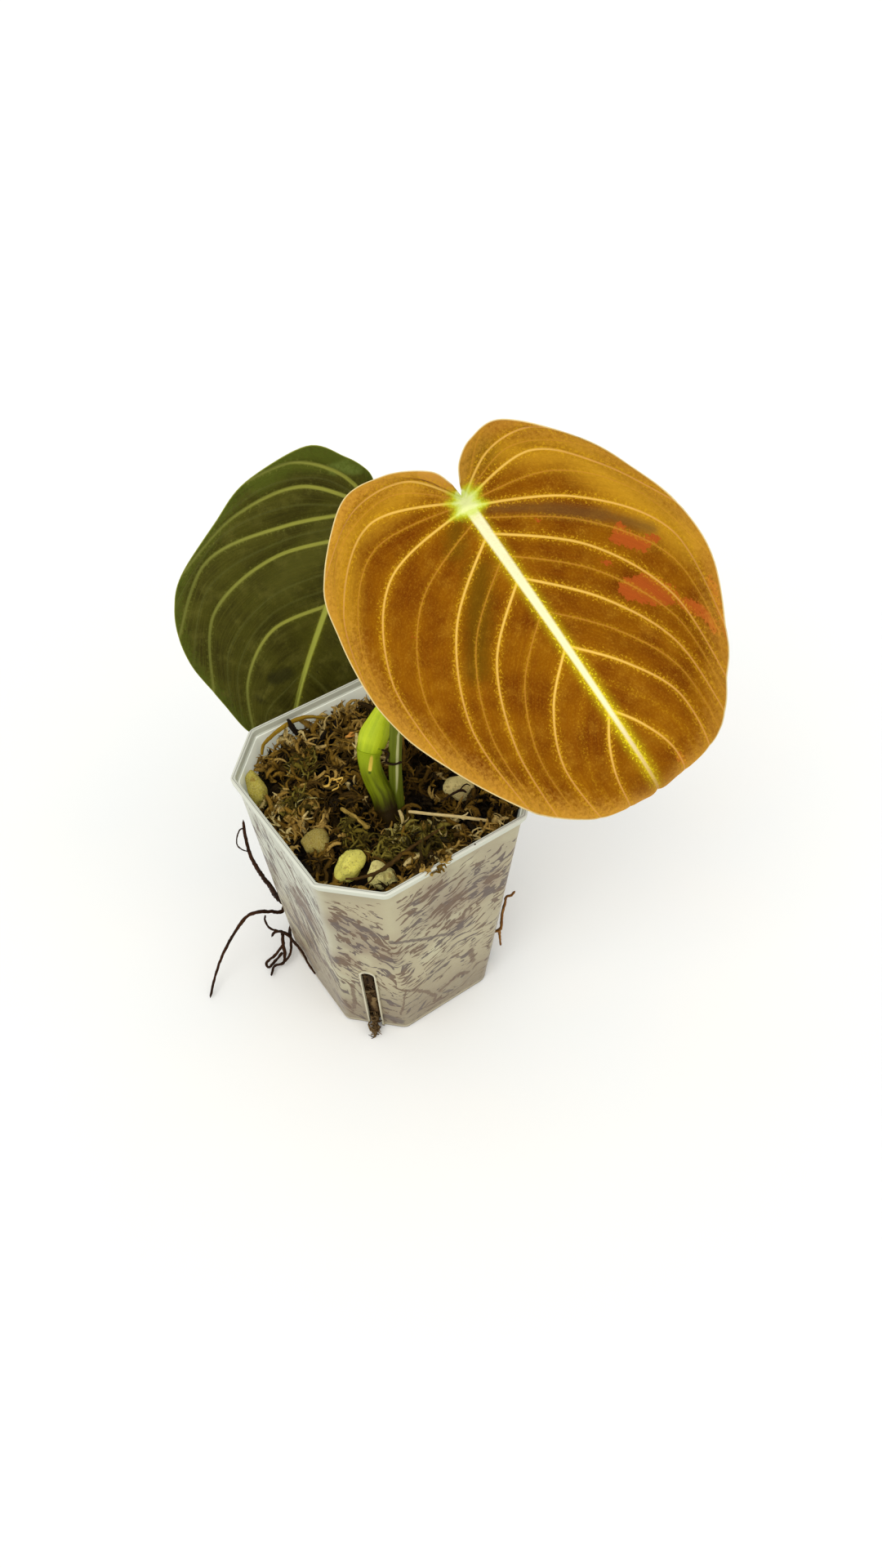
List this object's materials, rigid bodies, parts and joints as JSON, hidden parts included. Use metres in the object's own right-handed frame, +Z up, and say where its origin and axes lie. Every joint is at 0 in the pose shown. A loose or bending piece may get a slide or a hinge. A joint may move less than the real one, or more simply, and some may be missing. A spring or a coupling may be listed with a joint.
{
  "type": "potted variegated philodendron melanochrysum",
  "caption": "Young climbing aroid with heart-shaped copper and dark green leaves on bent petioles, rooted in moss in a clear square pot with cut corners.",
  "frame": {"origin": "centre of the pot's underside, on the surface that the pot stands on", "axes": "+Z up; X and Y across the pot's flat sides, its cut corners on the diagonals; the front leaf hangs towards +X and the back leaf towards -X"},
  "size_m": [0.1496, 0.147, 0.1945],
  "materials": {
    "plastic": "satin",
    "moss": "matte",
    "green_moss": "matte",
    "stem": "satin",
    "rhizome": "matte",
    "petiole": "satin",
    "old_petiole": "satin",
    "copper_leaf": "matte",
    "green_leaf": "matte",
    "pumice": "matte",
    "straw": "matte",
    "root": "matte",
    "bark": "matte",
    "golden_root": "matte"
  },
  "bodies": {
    "root": {"pot": "plastic", "moss_fill": "moss", "moss_green": "green_moss", "stem": "stem", "rhizome": "rhizome", "petiole_front": "petiole", "petiole_back": "old_petiole", "leaf_front": "copper_leaf", "leaf_back": "green_leaf", "pumice_front_yellow": "pumice", "pumice_front_pitted": "pumice", "pumice_left_front": "pumice", "pumice_right": "pumice", "pumice_left_wall": "pumice", "straw": "straw", "dead_strand": "root", "bark_sliver": "bark", "golden_root": "golden_root", "root_long_left": "root", "root_climbing_left": "root", "root_tangle_left": "root", "rootlets_right": "root"}
  },
  "joints": []
}
